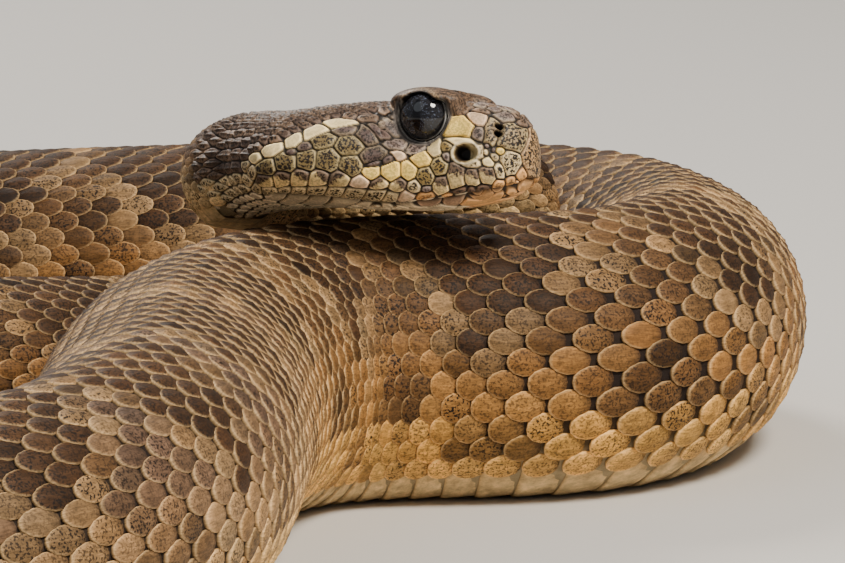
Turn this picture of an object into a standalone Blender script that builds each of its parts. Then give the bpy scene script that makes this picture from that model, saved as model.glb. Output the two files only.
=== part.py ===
"""A western diamondback rattlesnake at rest, life size, coiled with its head laid on its own body.

Millimetres are used for the driving dimensions and turned into metres where a mesh is made.
X runs to the right of the snake's view, Y away from the viewer and Z up, with the floor at zero.
"""
import math

import bmesh
import bpy
import numpy as np
from mathutils import Matrix, Vector

MM = 0.001

# The dimensions below are laid out about the eye; this moves the middle of the whole animal to zero.
CENTRING = (51.81, 5.83, 0.0)

# The head: a straight axis from the tip of the snout to the base of the skull.
SNOUT_TIP = (15.2, -4.0, 46.4)
SKULL_BASE = (-19.5, 11.5, 44.2)
HEAD_ROLL = math.radians(11.0)
HEAD_END = 41.0

# The route of the backbone behind the skull: x, y, and how far the belly is above the floor.
ROUTE = [
    (-19.5, 11.5, 37.6), (-24.3, 14.6, 36.0), (-26.3, 23.5, 33.2), (-20.0, 31.8, 31.2),
    (-8.5, 35.5, 31.3), (3.5, 37.0, 31.2), (11.5, 43.5, 25.5), (8.5, 53.0, 14.5),
    (-3.0, 57.0, 5.0), (-17.0, 54.0, 0.0), (-31.0, 43.5, 0.0), (-46.0, 27.0, 0.0),
    (-64.0, 15.0, 0.0), (-87.0, 13.0, 0.0), (-106.0, 28.0, 0.0), (-110.0, 53.0, 0.0),
    (-98.0, 77.0, 0.0), (-73.0, 89.0, 0.0), (-46.0, 91.5, 0.0), (-18.0, 93.0, 0.0),
    (7.0, 91.0, 0.0), (27.0, 79.5, 0.0), (36.5, 57.0, 0.0), (35.0, 29.5, 0.0),
    (20.5, 11.5, 0.0), (0.0, 12.0, 0.0), (-18.0, 7.5, 0.0), (-28.5, -10.0, 0.0),
    (-31.0, -34.0, 0.0), (-31.0, -60.0, 0.0), (-36.0, -89.0, 0.0), (-53.0, -112.0, 0.0),
    (-80.0, -120.0, 0.0), (-107.0, -111.0, 0.0), (-124.0, -88.0, 0.0), (-130.0, -59.0, 0.0),
    (-135.0, -29.0, 0.0), (-141.0, -1.0, 0.0), (-147.0, 27.0, 0.0), (-149.0, 54.0, 0.0),
    (-142.0, 78.0, 0.0), (-126.0, 97.0, 0.0), (-106.0, 108.0, 0.0),
]
ROUTE_STEPS = 24

# Half the body's height along its length, both in millimetres from the tip of the snout.
GIRTH = [
    (0.0, 6.8), (41.0, 6.9), (60.0, 7.8), (80.0, 8.6), (110.0, 10.0), (150.0, 11.8), (200.0, 14.2),
    (250.0, 16.0), (300.0, 17.0), (400.0, 18.2), (500.0, 18.8), (600.0, 18.2), (700.0, 16.2),
    (800.0, 12.8), (860.0, 9.8), (905.0, 7.4), (950.0, 5.6), (1100.0, 5.0),
]
BODY_WIDTH = 0.96
BELLY_LEVEL = 0.97
SPINE_RISE = 0.035
FLAT_BELLY = 0.3
RING_SIDES = 20
RING_SPACING = 6.0
NECK_SPACING = 3.4
NODE_GAP = 0.3

# Where the body is divided into lengths.
CUTS = [HEAD_END, 78.0, 118.0, 168.0, 232.0, 302.0, 376.0, 446.0, 512.0, 580.0, 660.0, 745.0, 840.0]
LENGTH_NAMES = [
    "neck", "nape_fold", "throat_fold", "fore_body", "left_turn", "far_body", "far_flank",
    "right_turn", "near_body", "near_flank", "hind_body", "hind_flank", "tail",
]

# Sections of the head: distance from the snout, half width, top, bottom, squareness above and below.
HEAD_SECTIONS = [
    (0.55, 0.8, 1.4, -1.3, 2.1, 2.1), (0.75, 1.7, 2.6, -2.0, 2.2, 2.2), (1.15, 2.6, 3.8, -2.7, 2.3, 2.2),
    (1.9, 3.7, 4.95, -3.45, 2.5, 2.3),
    (3.1, 4.9, 6.15, -4.15, 2.8, 2.3), (4.9, 6.0, 6.95, -4.85, 3.1, 2.3), (7.2, 6.8, 7.35, -5.45, 3.3, 2.35),
    (9.8, 7.4, 7.5, -5.85, 3.1, 2.4), (12.4, 8.1, 7.6, -6.15, 3.0, 2.45), (15.0, 8.9, 7.6, -6.4, 2.9, 2.5),
    (17.6, 9.9, 7.6, -6.4, 2.7, 2.45), (20.2, 11.0, 7.5, -6.3, 2.6, 2.4), (23.0, 12.2, 7.4, -6.25, 2.5, 2.35),
    (26.0, 13.2, 7.2, -6.15, 2.4, 2.3), (29.0, 13.9, 6.9, -6.0, 2.3, 2.25), (31.6, 14.1, 6.6, -6.0, 2.25, 2.2),
    (34.0, 13.5, 6.4, -6.2, 2.2, 2.2), (36.2, 11.9, 6.3, -6.4, 2.1, 2.15), (38.2, 9.8, 6.4, -6.5, 2.0, 2.1),
    (39.8, 8.0, 6.6, -6.6, 2.0, 2.0), (41.0, 7.1, 6.8, -6.6, 2.0, 2.0),
]
HEAD_SIDES = 32

# The widest level of the head below its axis, by distance from the snout.
WIDEST_LEVEL = [(0.0, -0.6), (6.0, -1.6), (14.0, -2.3), (24.0, -1.6), (33.0, -0.8), (41.0, 0.0)]

# The line of the mouth: distance from the snout and height on the axis.
MOUTH_LINE = [
    (1.05, -2.4), (2.0, -3.2), (3.4, -3.75), (5.0, -4.1), (7.2, -4.6), (9.4, -5.05), (11.4, -5.4),
    (13.4, -5.7), (15.4, -5.9), (18.4, -5.95), (21.0, -5.85), (23.0, -5.7), (24.6, -5.5), (26.6, -5.3),
    (29.4, -5.2), (33.0, -4.85),
]
MOUTH_RADIUS = 0.42

EYE_AT = 13.9
EYE_HEIGHT = 5.5
EYE_RADIUS = 3.4
EYE_BULGE = 1.75
SOCKET_RADIUS = 3.7
BROW_CENTRE = (13.8, 5.0, 7.25)
BROW_SIZE = (5.0, 3.35, 1.93)
NOSTRIL_CENTRE = (3.9, 3.8)
NOSTRIL_RADIUS = 0.72
PIT_CENTRE = (7.6, 0.6)
PIT_RADIUS = 1.35

RATTLE_SEGMENTS = 8
RATTLE_PITCH = 3.1
RATTLE_HEIGHT = 5.1
RATTLE_WIDTH = 3.3
RATTLE_LIFT = math.radians(9.0)
RATTLE_SIDES = 20


# The shape of the whole animal.
def route_points():
    """The backbone as points from the snout to the tail tip, the girth's own height not yet added."""
    p = np.array(ROUTE, float)
    p = np.vstack([2 * p[0] - p[1], p, 2 * p[-1] - p[-2]])
    out = []
    for i in range(1, len(p) - 2):
        for t in np.linspace(0, 1, ROUTE_STEPS, endpoint=False):
            near = p[i - 1] * (1 - t) ** 3 + p[i] * (3 * t ** 3 - 6 * t ** 2 + 4)
            far = p[i + 1] * (-3 * t ** 3 + 3 * t ** 2 + 3 * t + 1) + p[i + 2] * t ** 3
            out.append((near + far) / 6)
    out.append(p[-2])
    return np.array(out)


def smooth_table(table, x):
    """A table's value at x, eased between its rows."""
    xs, ys = np.array(table, float).T[:2]
    x = np.asarray(x, float)
    wide = 0.25 * np.gradient(xs).mean()
    return sum(np.interp(x + d * wide, xs, ys) for d in (-1.0, -0.5, 0.0, 0.5, 1.0)) / 5


def backbone():
    """Distances from the snout and the points of the backbone at them."""
    tip = np.array(SNOUT_TIP)
    base = np.array(SKULL_BASE)
    skull = np.linalg.norm(base - tip)
    head = [tip + (base - tip) * t for t in np.linspace(0, 1, 40, endpoint=False)]
    body = route_points()
    walk = np.r_[0, np.cumsum(np.linalg.norm(np.diff(body, axis=0), axis=1))] + skull
    lift = body[:, 2] + BELLY_LEVEL * girth(walk)
    body = np.c_[body[:, :2], lift - (lift[0] - base[2]) * np.exp(-(walk - skull) / 12.0)]
    points = np.vstack([head, body]) + np.array(CENTRING)
    steps = np.linalg.norm(np.diff(points, axis=0), axis=1)
    return np.r_[0, np.cumsum(steps)], points


def girth(s):
    """Half the body's height at a distance from the snout."""
    xs, ys = np.array(GIRTH).T
    s = np.asarray(s, float)
    return sum(np.interp(s + d, xs, ys) for d in (-12.0, -6.0, 0.0, 6.0, 12.0)) / 5


SPINE_S, SPINE = backbone()
SPINE_END = float(SPINE_S[-1])


def place(s):
    """The backbone's point at s, with the directions to the tail, the snake's left and its back."""
    at = np.array([np.interp(s, SPINE_S, SPINE[:, i]) for i in range(3)])
    ahead = np.array([np.interp(s + 1.2, SPINE_S, SPINE[:, i]) for i in range(3)])
    behind = np.array([np.interp(s - 1.2, SPINE_S, SPINE[:, i]) for i in range(3)])
    along = Vector(ahead - behind).normalized()
    left = along.cross(Vector((0, 0, 1))).normalized()
    back = left.cross(along).normalized()
    turn = HEAD_ROLL * float(np.interp(s, (30.0, 62.0), (1.0, 0.0)))
    left, back = left * math.cos(turn) - back * math.sin(turn), back * math.cos(turn) + left * math.sin(turn)
    return Vector(at), along, left, back


def body_section(angle):
    """Across and up on a body of unit half height, at an angle from the middle of the back."""
    across = BODY_WIDTH * math.sin(angle)
    up = math.cos(angle)
    if up > 0:
        up *= 1 + SPINE_RISE * math.exp(-(math.sin(angle) / 0.3) ** 2) - SPINE_RISE
    else:
        up = -min(-1.06 * up, BELLY_LEVEL)
    return across, up


def head_section(s, angle):
    """Across and up on the head, in millimetres from its axis."""
    rows = np.array(HEAD_SECTIONS)
    wide, top, low, over, under = (float(np.interp(s, rows[:, 0], rows[:, i])) for i in range(1, 6))
    level = float(np.interp(s, *np.array(WIDEST_LEVEL).T))
    c, d = math.cos(angle), math.sin(angle)
    power = over if c > 0 else under
    size = (abs(c) ** power + abs(d) ** power) ** (-1 / power)
    reach = top - level if c > 0 else level - low
    return wide * d * size, level + reach * c * size


def body_ring(s):
    at, along, left, back = place(s)
    half = float(girth(s))
    ring = []
    for i in range(RING_SIDES):
        across, up = body_section(2 * math.pi * i / RING_SIDES)
        point = at + left * across * half + back * up * half
        if point.z < FLAT_BELLY:
            point.z = 0.0
        ring.append(point * MM)
    return ring


def head_ring(s):
    at, along, left, back = place(s)
    ring = []
    for i in range(HEAD_SIDES):
        across, up = head_section(s, 2 * math.pi * i / HEAD_SIDES)
        ring.append((at + left * across + back * up) * MM)
    return ring


def on_head(s, height, side, outward=0.0):
    """A point on the head's side at a height above its axis, and the way out of it."""
    best = min(
        (head_section(s, a) for a in np.linspace(0.02, math.pi - 0.02, 600)),
        key=lambda p: abs(p[1] - height),
    )
    at, along, left, back = place(s)
    return (at + left * side * (best[0] + outward) + back * height) * MM, left * side


# The meshes.
def make_object(name, mesh, collection, material=None):
    thing = bpy.data.objects.new(name, mesh)
    collection.objects.link(thing)
    if material:
        mesh.materials.append(material)
    return thing


def loft(name, rings, collection, material=None):
    """A closed skin over rings of equal count, its two ends capped."""
    shape = bmesh.new()
    rows = [[shape.verts.new(p) for p in ring] for ring in rings]
    count = len(rows[0])
    for a, b in zip(rows, rows[1:]):
        for i in range(count):
            j = (i + 1) % count
            shape.faces.new((a[i], a[j], b[j], b[i]))
    shape.faces.new(list(reversed(rows[0])))
    shape.faces.new(rows[-1])
    bmesh.ops.recalc_face_normals(shape, faces=shape.faces)
    mesh = bpy.data.meshes.new(name)
    shape.to_mesh(mesh)
    shape.free()
    return make_object(name, mesh, collection, material)


def ball(name, centre, radius, collection, material=None, scale=(1, 1, 1), turn=None, fine=24):
    shape = bmesh.new()
    bmesh.ops.create_uvsphere(shape, u_segments=fine, v_segments=fine // 2, radius=radius)
    frame = (turn or Matrix.Identity(3)).to_4x4() @ Matrix.Diagonal((*scale, 1))
    bmesh.ops.transform(shape, matrix=Matrix.Translation(centre) @ frame, verts=shape.verts)
    mesh = bpy.data.meshes.new(name)
    shape.to_mesh(mesh)
    shape.free()
    return make_object(name, mesh, collection, material)


def cut_or_join(body, tool, operation):
    step = body.modifiers.new(tool.name, "BOOLEAN")
    step.object = tool
    step.operation = operation
    step.solver = "EXACT"


def skin(name, colour, roughness):
    made = bpy.data.materials.new(name)
    made.use_nodes = True
    shader = made.node_tree.nodes["Principled BSDF"]
    shader.inputs["Base Color"].default_value = (*colour, 1)
    shader.inputs["Roughness"].default_value = roughness
    return made


def spaced(start, end, step):
    count = max(2, round((end - start) / step) + 1)
    return np.linspace(start, end, count)


def build_lengths(parts):
    ends = CUTS[1:] + [SPINE_END]
    for name, start, end in zip(LENGTH_NAMES, CUTS, ends):
        step = NECK_SPACING if start < 160 else RING_SPACING
        rings = [body_ring(s) for s in spaced(start + NODE_GAP / 2, end - NODE_GAP / 2, step)]
        tone = (0.30, 0.22, 0.14) if name != "tail" else (0.45, 0.43, 0.40)
        loft(name, rings, parts, skin(name, tone, 0.55))


def build_mouth_cutter(tools):
    """A fine round cord laid along the lips, which leaves the line of the mouth."""
    line = bpy.data.curves.new("mouth_line", "CURVE")
    line.dimensions = "3D"
    line.bevel_depth = MOUTH_RADIUS * MM
    line.bevel_resolution = 1
    line.use_fill_caps = True
    points = []
    for side in (1, -1):
        row = [on_head(s, z, side)[0] for s, z in MOUTH_LINE]
        points.append(row)
    at, along, left, back = place(0.0)
    front = [(at + along * 0.85 + left * x - back * 2.15) * MM for x in (1.0, 0.0, -1.0)]
    path = list(reversed(points[0])) + front + points[1]
    run = line.splines.new("POLY")
    run.points.add(len(path) - 1)
    for point, where in zip(run.points, path):
        point.co = (*where, 1)
    drawn = bpy.data.objects.new("mouth_curve", line)
    tools.objects.link(drawn)
    mesh = bpy.data.meshes.new_from_object(drawn)
    weld = bmesh.new()
    weld.from_mesh(mesh)
    bmesh.ops.remove_doubles(weld, verts=weld.verts, dist=0.00001)
    weld.to_mesh(mesh)
    weld.free()
    return make_object("mouth_line", mesh, tools)


def build_head(parts, tools):
    rings = [head_ring(row[0]) for row in HEAD_SECTIONS[:-1]]
    rings.append(head_ring(HEAD_END - NODE_GAP / 2))
    head = loft("head", rings, parts, skin("head", (0.34, 0.26, 0.17), 0.5))
    for side, word in ((1, "left"), (-1, "right")):
        at, along, left, back = place(BROW_CENTRE[0])
        centre = (at + left * side * BROW_CENTRE[1] + back * BROW_CENTRE[2]) * MM
        turn = Matrix((along, left * side, back)).transposed()
        brow = ball("brow_" + word, centre, MM, tools, scale=BROW_SIZE, turn=turn, fine=22)
        cut_or_join(head, brow, "UNION")
    for side, word in ((1, "left"), (-1, "right")):
        surface, out = on_head(EYE_AT, EYE_HEIGHT, side)
        centre = surface + out * (EYE_BULGE - EYE_RADIUS) * MM
        socket = ball("socket_" + word, centre, SOCKET_RADIUS * MM, tools, fine=28)
        cut_or_join(head, socket, "DIFFERENCE")
    for side, word in ((1, "left"), (-1, "right")):
        nostril, out = on_head(NOSTRIL_CENTRE[0], NOSTRIL_CENTRE[1], side)
        hole = ball("nostril_" + word, nostril, NOSTRIL_RADIUS * MM, tools, fine=14)
        cut_or_join(head, hole, "DIFFERENCE")
    for side, word in ((1, "left"), (-1, "right")):
        pit, out = on_head(PIT_CENTRE[0], PIT_CENTRE[1], side)
        hollow = ball("pit_" + word, pit - out * 0.15 * MM, PIT_RADIUS * MM, tools, fine=18)
        cut_or_join(head, hollow, "DIFFERENCE")
    cut_or_join(head, build_mouth_cutter(tools), "DIFFERENCE")
    for side, word in ((1, "left"), (-1, "right")):
        surface, out = on_head(EYE_AT, EYE_HEIGHT, side)
        centre = surface + out * (EYE_BULGE - EYE_RADIUS) * MM
        material = skin("eye_" + word, (0.02, 0.02, 0.025), 0.1)
        ball("eye_" + word, centre, EYE_RADIUS * MM, parts, material, fine=28)


def rattle_profile(t):
    """How full the rattle is at t segments from its base."""
    step = t - math.floor(t)
    lobe = 0.84 + 0.16 * math.sin(math.pi * min(1.0, step / 0.62)) if step < 0.62 else 0.84
    taper = 1 - 0.028 * t
    return lobe * taper


def build_rattle(parts):
    at, along, left, back = place(SPINE_END)
    stations = [i + f for i in range(RATTLE_SEGMENTS) for f in (0.0, 0.16, 0.31, 0.46, 0.62, 0.81)]
    stations = stations[:-2] + [RATTLE_SEGMENTS - 0.4]
    centre = at + along * NODE_GAP
    before = 0.0
    rings = []
    for t in stations:
        lift = RATTLE_LIFT * min(1.0, t / 3)
        axis = along * math.cos(lift) + back * math.sin(lift)
        up = back * math.cos(lift) - along * math.sin(lift)
        centre = centre + axis * (t - before) * RATTLE_PITCH
        before = t
        full = rattle_profile(t) if t < stations[-1] else 0.45
        ring = []
        for i in range(RATTLE_SIDES):
            a = 2 * math.pi * i / RATTLE_SIDES
            waist = 1 - 0.13 * math.exp(-(math.cos(a) / 0.28) ** 2)
            across = RATTLE_WIDTH * full * math.sin(a) * waist
            ring.append((centre + left * across + up * RATTLE_HEIGHT * full * math.cos(a)) * MM)
        rings.append(ring)
    loft("rattle", rings, parts, skin("rattle", (0.42, 0.33, 0.2), 0.45))


def main():
    for thing in list(bpy.data.objects):
        bpy.data.objects.remove(thing)
    scene = bpy.context.scene
    parts = bpy.data.collections.new("parts")
    tools = bpy.data.collections.new("cutters")
    scene.collection.children.link(parts)
    scene.collection.children.link(tools)
    build_lengths(parts)
    build_head(parts, tools)
    build_rattle(parts)
    for thing in tools.objects:
        thing.hide_render = True
        thing.display_type = "WIRE"


main()
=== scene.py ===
"""The looks of a western diamondback rattlesnake at rest, life size, on its coiled body.

Lengths are in millimetres until a mesh is made. X is to the right of the snake's view, Y away from
the viewer and Z up, with the floor at zero.
"""

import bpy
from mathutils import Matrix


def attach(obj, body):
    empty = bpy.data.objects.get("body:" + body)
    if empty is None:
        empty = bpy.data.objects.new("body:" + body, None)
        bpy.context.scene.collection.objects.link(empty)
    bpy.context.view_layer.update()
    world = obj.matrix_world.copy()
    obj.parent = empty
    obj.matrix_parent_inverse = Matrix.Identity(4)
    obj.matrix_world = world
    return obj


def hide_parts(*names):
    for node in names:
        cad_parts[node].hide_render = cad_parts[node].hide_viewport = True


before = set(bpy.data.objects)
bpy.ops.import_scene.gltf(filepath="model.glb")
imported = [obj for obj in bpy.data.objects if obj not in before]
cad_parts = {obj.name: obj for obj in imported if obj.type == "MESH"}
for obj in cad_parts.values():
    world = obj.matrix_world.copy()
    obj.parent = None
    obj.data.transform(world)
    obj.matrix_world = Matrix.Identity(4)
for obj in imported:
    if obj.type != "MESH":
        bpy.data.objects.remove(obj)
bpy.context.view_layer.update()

import math

import bpy
import numpy as np
from mathutils import Vector

MM = 0.001

# ---- The shape of the animal, as in the part.
CENTRING = (51.81, 5.83, 0.0)
SNOUT_TIP = (15.2, -4.0, 46.4)
SKULL_BASE = (-19.5, 11.5, 44.2)
HEAD_ROLL = math.radians(11.0)
ROUTE = [
    (-19.5, 11.5, 37.6), (-24.3, 14.6, 36.0), (-26.3, 23.5, 33.2), (-20.0, 31.8, 31.2),
    (-8.5, 35.5, 31.3), (3.5, 37.0, 31.2), (11.5, 43.5, 25.5), (8.5, 53.0, 14.5),
    (-3.0, 57.0, 5.0), (-17.0, 54.0, 0.0), (-31.0, 43.5, 0.0), (-46.0, 27.0, 0.0),
    (-64.0, 15.0, 0.0), (-87.0, 13.0, 0.0), (-106.0, 28.0, 0.0), (-110.0, 53.0, 0.0),
    (-98.0, 77.0, 0.0), (-73.0, 89.0, 0.0), (-46.0, 91.5, 0.0), (-18.0, 93.0, 0.0),
    (7.0, 91.0, 0.0), (27.0, 79.5, 0.0), (36.5, 57.0, 0.0), (35.0, 29.5, 0.0),
    (20.5, 11.5, 0.0), (0.0, 12.0, 0.0), (-18.0, 7.5, 0.0), (-28.5, -10.0, 0.0),
    (-31.0, -34.0, 0.0), (-31.0, -60.0, 0.0), (-36.0, -89.0, 0.0), (-53.0, -112.0, 0.0),
    (-80.0, -120.0, 0.0), (-107.0, -111.0, 0.0), (-124.0, -88.0, 0.0), (-130.0, -59.0, 0.0),
    (-135.0, -29.0, 0.0), (-141.0, -1.0, 0.0), (-147.0, 27.0, 0.0), (-149.0, 54.0, 0.0),
    (-142.0, 78.0, 0.0), (-126.0, 97.0, 0.0), (-106.0, 108.0, 0.0),
]
ROUTE_STEPS = 24
GIRTH = [
    (0.0, 6.8), (41.0, 6.9), (60.0, 7.8), (80.0, 8.6), (110.0, 10.0), (150.0, 11.8), (200.0, 14.2),
    (250.0, 16.0), (300.0, 17.0), (400.0, 18.2), (500.0, 18.8), (600.0, 18.2), (700.0, 16.2),
    (800.0, 12.8), (860.0, 9.8), (905.0, 7.4), (950.0, 5.6), (1100.0, 5.0),
]
BODY_WIDTH = 0.96
BELLY_LEVEL = 0.97
SPINE_RISE = 0.035
HEAD_SECTIONS = [
    (0.55, 0.8, 1.4, -1.3, 2.1, 2.1), (0.75, 1.7, 2.6, -2.0, 2.2, 2.2),
    (1.15, 2.6, 3.8, -2.7, 2.3, 2.2), (1.9, 3.7, 4.95, -3.45, 2.5, 2.3),
    (3.1, 4.9, 6.15, -4.15, 2.8, 2.3), (4.9, 6.0, 6.95, -4.85, 3.1, 2.3),
    (7.2, 6.8, 7.35, -5.45, 3.3, 2.35), (9.8, 7.4, 7.5, -5.85, 3.1, 2.4),
    (12.4, 8.1, 7.6, -6.15, 3.0, 2.45), (15.0, 8.9, 7.6, -6.4, 2.9, 2.5),
    (17.6, 9.9, 7.6, -6.4, 2.7, 2.45), (20.2, 11.0, 7.5, -6.3, 2.6, 2.4),
    (23.0, 12.2, 7.4, -6.25, 2.5, 2.35), (26.0, 13.2, 7.2, -6.15, 2.4, 2.3),
    (29.0, 13.9, 6.9, -6.0, 2.3, 2.25), (31.6, 14.1, 6.6, -6.0, 2.25, 2.2),
    (34.0, 13.5, 6.4, -6.2, 2.2, 2.2), (36.2, 11.9, 6.3, -6.4, 2.1, 2.15),
    (38.2, 9.8, 6.4, -6.5, 2.0, 2.1), (39.8, 8.0, 6.6, -6.6, 2.0, 2.0),
    (41.0, 7.1, 6.8, -6.6, 2.0, 2.0),
]
WIDEST_LEVEL = [(0.0, -0.6), (6.0, -1.6), (14.0, -2.3), (24.0, -1.6), (33.0, -0.8), (41.0, 0.0)]
MOUTH_LINE = [
    (1.05, -2.4), (2.0, -3.2), (3.4, -3.75), (5.0, -4.1), (7.2, -4.6), (9.4, -5.05), (11.4, -5.4),
    (13.4, -5.7), (15.4, -5.9), (18.4, -5.95), (21.0, -5.85), (23.0, -5.7), (24.6, -5.5),
    (26.6, -5.3), (29.4, -5.2), (33.0, -4.85),
]
EYE_AT = 13.9
EYE_HEIGHT = 5.5
EYE_RADIUS = 3.4
EYE_BULGE = 1.75
BROW_CENTRE = (13.8, 5.0, 7.25)
BROW_SIZE = (5.0, 3.35, 1.93)
NOSTRIL_CENTRE = (3.9, 3.8)
PIT_CENTRE = (7.6, 0.6)
RATTLE_SEGMENTS = 8
RATTLE_PITCH = 3.1
RATTLE_HEIGHT = 5.1
RATTLE_WIDTH = 3.3
RATTLE_LIFT = math.radians(9.0)


def table(rows, s, column=1):
    rows = np.array(rows, float)
    return np.interp(s, rows[:, 0], rows[:, column])


def girth(s):
    s = np.asarray(s, float)
    return sum(table(GIRTH, s + d) for d in (-12.0, -6.0, 0.0, 6.0, 12.0)) / 5


def route_points():
    p = np.array(ROUTE, float)
    p = np.vstack([2 * p[0] - p[1], p, 2 * p[-1] - p[-2]])
    out = []
    for i in range(1, len(p) - 2):
        for t in np.linspace(0, 1, ROUTE_STEPS, endpoint=False):
            near = p[i - 1] * (1 - t) ** 3 + p[i] * (3 * t ** 3 - 6 * t ** 2 + 4)
            far = p[i + 1] * (-3 * t ** 3 + 3 * t ** 2 + 3 * t + 1) + p[i + 2] * t ** 3
            out.append((near + far) / 6)
    out.append(p[-2])
    return np.array(out)


def backbone():
    tip = np.array(SNOUT_TIP)
    base = np.array(SKULL_BASE)
    skull = np.linalg.norm(base - tip)
    head = [tip + (base - tip) * t for t in np.linspace(0, 1, 40, endpoint=False)]
    body = route_points()
    walk = np.r_[0, np.cumsum(np.linalg.norm(np.diff(body, axis=0), axis=1))] + skull
    lift = body[:, 2] + BELLY_LEVEL * girth(walk)
    body = np.c_[body[:, :2], lift - (lift[0] - base[2]) * np.exp(-(walk - skull) / 12.0)]
    points = np.vstack([head, body]) + np.array(CENTRING)
    steps = np.linalg.norm(np.diff(points, axis=0), axis=1)
    return np.r_[0, np.cumsum(steps)], points


SPINE_S, SPINE = backbone()
SPINE_END = float(SPINE_S[-1])


def unit(v):
    return v / np.maximum(np.linalg.norm(v, axis=-1, keepdims=True), 1e-12)


def along_spine(s):
    return np.stack([np.interp(s, SPINE_S, SPINE[:, i]) for i in range(3)], -1)


def places(s):
    """Points of the backbone at s, and the ways to the tail, the snake's left and its back."""
    s = np.asarray(s, float)
    along = unit(along_spine(s + 1.2) - along_spine(s - 1.2))
    left = unit(np.cross(along, np.array([0.0, 0.0, 1.0])))
    back = unit(np.cross(left, along))
    turn = (HEAD_ROLL * np.interp(s, (30.0, 62.0), (1.0, 0.0)))[..., None]
    c, d = np.cos(turn), np.sin(turn)
    left, back = left * c - back * d, back * c + left * d
    at = along_spine(np.clip(s, 0, SPINE_END)) + along * (s - np.clip(s, 0, SPINE_END))[..., None]
    return at, along, left, back


def body_section(angle):
    c, d = np.cos(angle), np.sin(angle)
    over = c * (1 + SPINE_RISE * np.exp(-(d / 0.3) ** 2) - SPINE_RISE)
    return BODY_WIDTH * d, np.where(c > 0, over, -np.minimum(-1.06 * c, BELLY_LEVEL))


def on_body(s, angle, out=0.0):
    """Points on the body's outside, raised by out, in millimetres."""
    at, along, left, back = places(s)
    across, up = body_section(angle)
    half = girth(s)
    flat = unit(np.stack([across, up * 1.02], -1))
    across, up = across * half + flat[..., 0] * out, up * half + flat[..., 1] * out
    point = at + left * across[..., None] + back * up[..., None]
    point[..., 2] = np.maximum(point[..., 2], 0.03)
    return point


def head_section(s, angle):
    rows = np.array(HEAD_SECTIONS)
    wide, top, low, over, under = (np.interp(s, rows[:, 0], rows[:, i]) for i in range(1, 6))
    level = table(WIDEST_LEVEL, s)
    c, d = np.cos(angle), np.sin(angle)
    power = np.where(c > 0, over, under)
    size = (np.abs(c) ** power + np.abs(d) ** power) ** (-1 / power)
    reach = np.where(c > 0, top - level, level - low)
    return wide * d * size, level + reach * c * size


# ---- Meshes and surfaces.
def linear(colour):
    """A display colour from 0 to 255 as linear values."""
    c = np.asarray(colour, float) / 255
    return np.where(c <= 0.04045, c / 12.92, ((c + 0.055) / 1.055) ** 2.4)


def new_object(name, data):
    made = bpy.data.objects.new(name, data)
    bpy.context.scene.collection.objects.link(made)
    return made


def make_mesh(name, points, faces, tone, pepper, uv, material):
    """A mesh from points in millimetres and equal-sided faces, with colours and a map by point."""
    pepper = np.broadcast_to(pepper, tone.shape[:-1])[..., None]
    tone = np.concatenate([tone, pepper], -1, dtype=np.float32)
    points = np.asarray(points, np.float32).reshape(-1, 3) * MM
    uv = np.asarray(uv, np.float32).reshape(-1, 2)
    faces = np.asarray(faces, np.int32)
    sides = faces.shape[1]
    mesh = bpy.data.meshes.new(name)
    mesh.vertices.add(len(points))
    mesh.vertices.foreach_set("co", points.ravel())
    mesh.loops.add(faces.size)
    mesh.loops.foreach_set("vertex_index", faces.ravel())
    mesh.polygons.add(len(faces))
    mesh.polygons.foreach_set("loop_start", np.arange(0, faces.size, sides, dtype=np.int32))
    mesh.polygons.foreach_set("use_smooth", np.full(len(faces), True))
    mesh.update(calc_edges=True)
    layer = mesh.color_attributes.new("tone", "FLOAT_COLOR", "POINT")
    layer.data.foreach_set("color", tone.ravel())
    layer = mesh.uv_layers.new(name="OFBake")
    layer.data.foreach_set("uv", uv[faces.ravel()].ravel())
    thing = new_object(name, mesh)
    mesh.materials.append(material)
    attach(thing, "root")
    return thing


def full_turn(count):
    return np.linspace(0, 2 * math.pi, count, endpoint=False)


def grid(rows, columns):
    return np.meshgrid(rows, columns, indexing="ij")


def grid_faces(rows, columns, closed=False):
    """Faces of a grid, turned outward for rows toward the tail and columns to the left."""
    i = np.arange(rows - 1)[:, None] * columns
    j = np.arange(columns if closed else columns - 1)[None, :]
    k = (j + 1) % columns
    return np.stack([i + j, i + k, i + columns + k, i + columns + j], -1).reshape(-1, 4)


def give(tree, node, inputs):
    """Gives a node's inputs values, or joins them to outputs of other nodes."""
    for key, value in inputs.items():
        if isinstance(value, bpy.types.NodeSocket):
            tree.links.new(value, node.inputs[key])
        else:
            node.inputs[key].default_value = value
    return node.outputs


def new_surface(name):
    """A material, what makes a shader node and returns its outputs, and what sets the shader."""
    made = bpy.data.materials.new(name)
    made.use_nodes = True
    tree = made.node_tree

    def add_node(kind, inputs=None, **settings):
        node = tree.nodes.new("ShaderNode" + kind)
        for key, value in settings.items():
            setattr(node, key, value)
        return give(tree, node, inputs or {})

    def finish(inputs):
        give(tree, tree.nodes["Principled BSDF"], inputs)

    return made, add_node, finish


SPECK = (0.012, 0.008, 0.006, 1)
BUMP_DISTANCE = 0.0001


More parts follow.
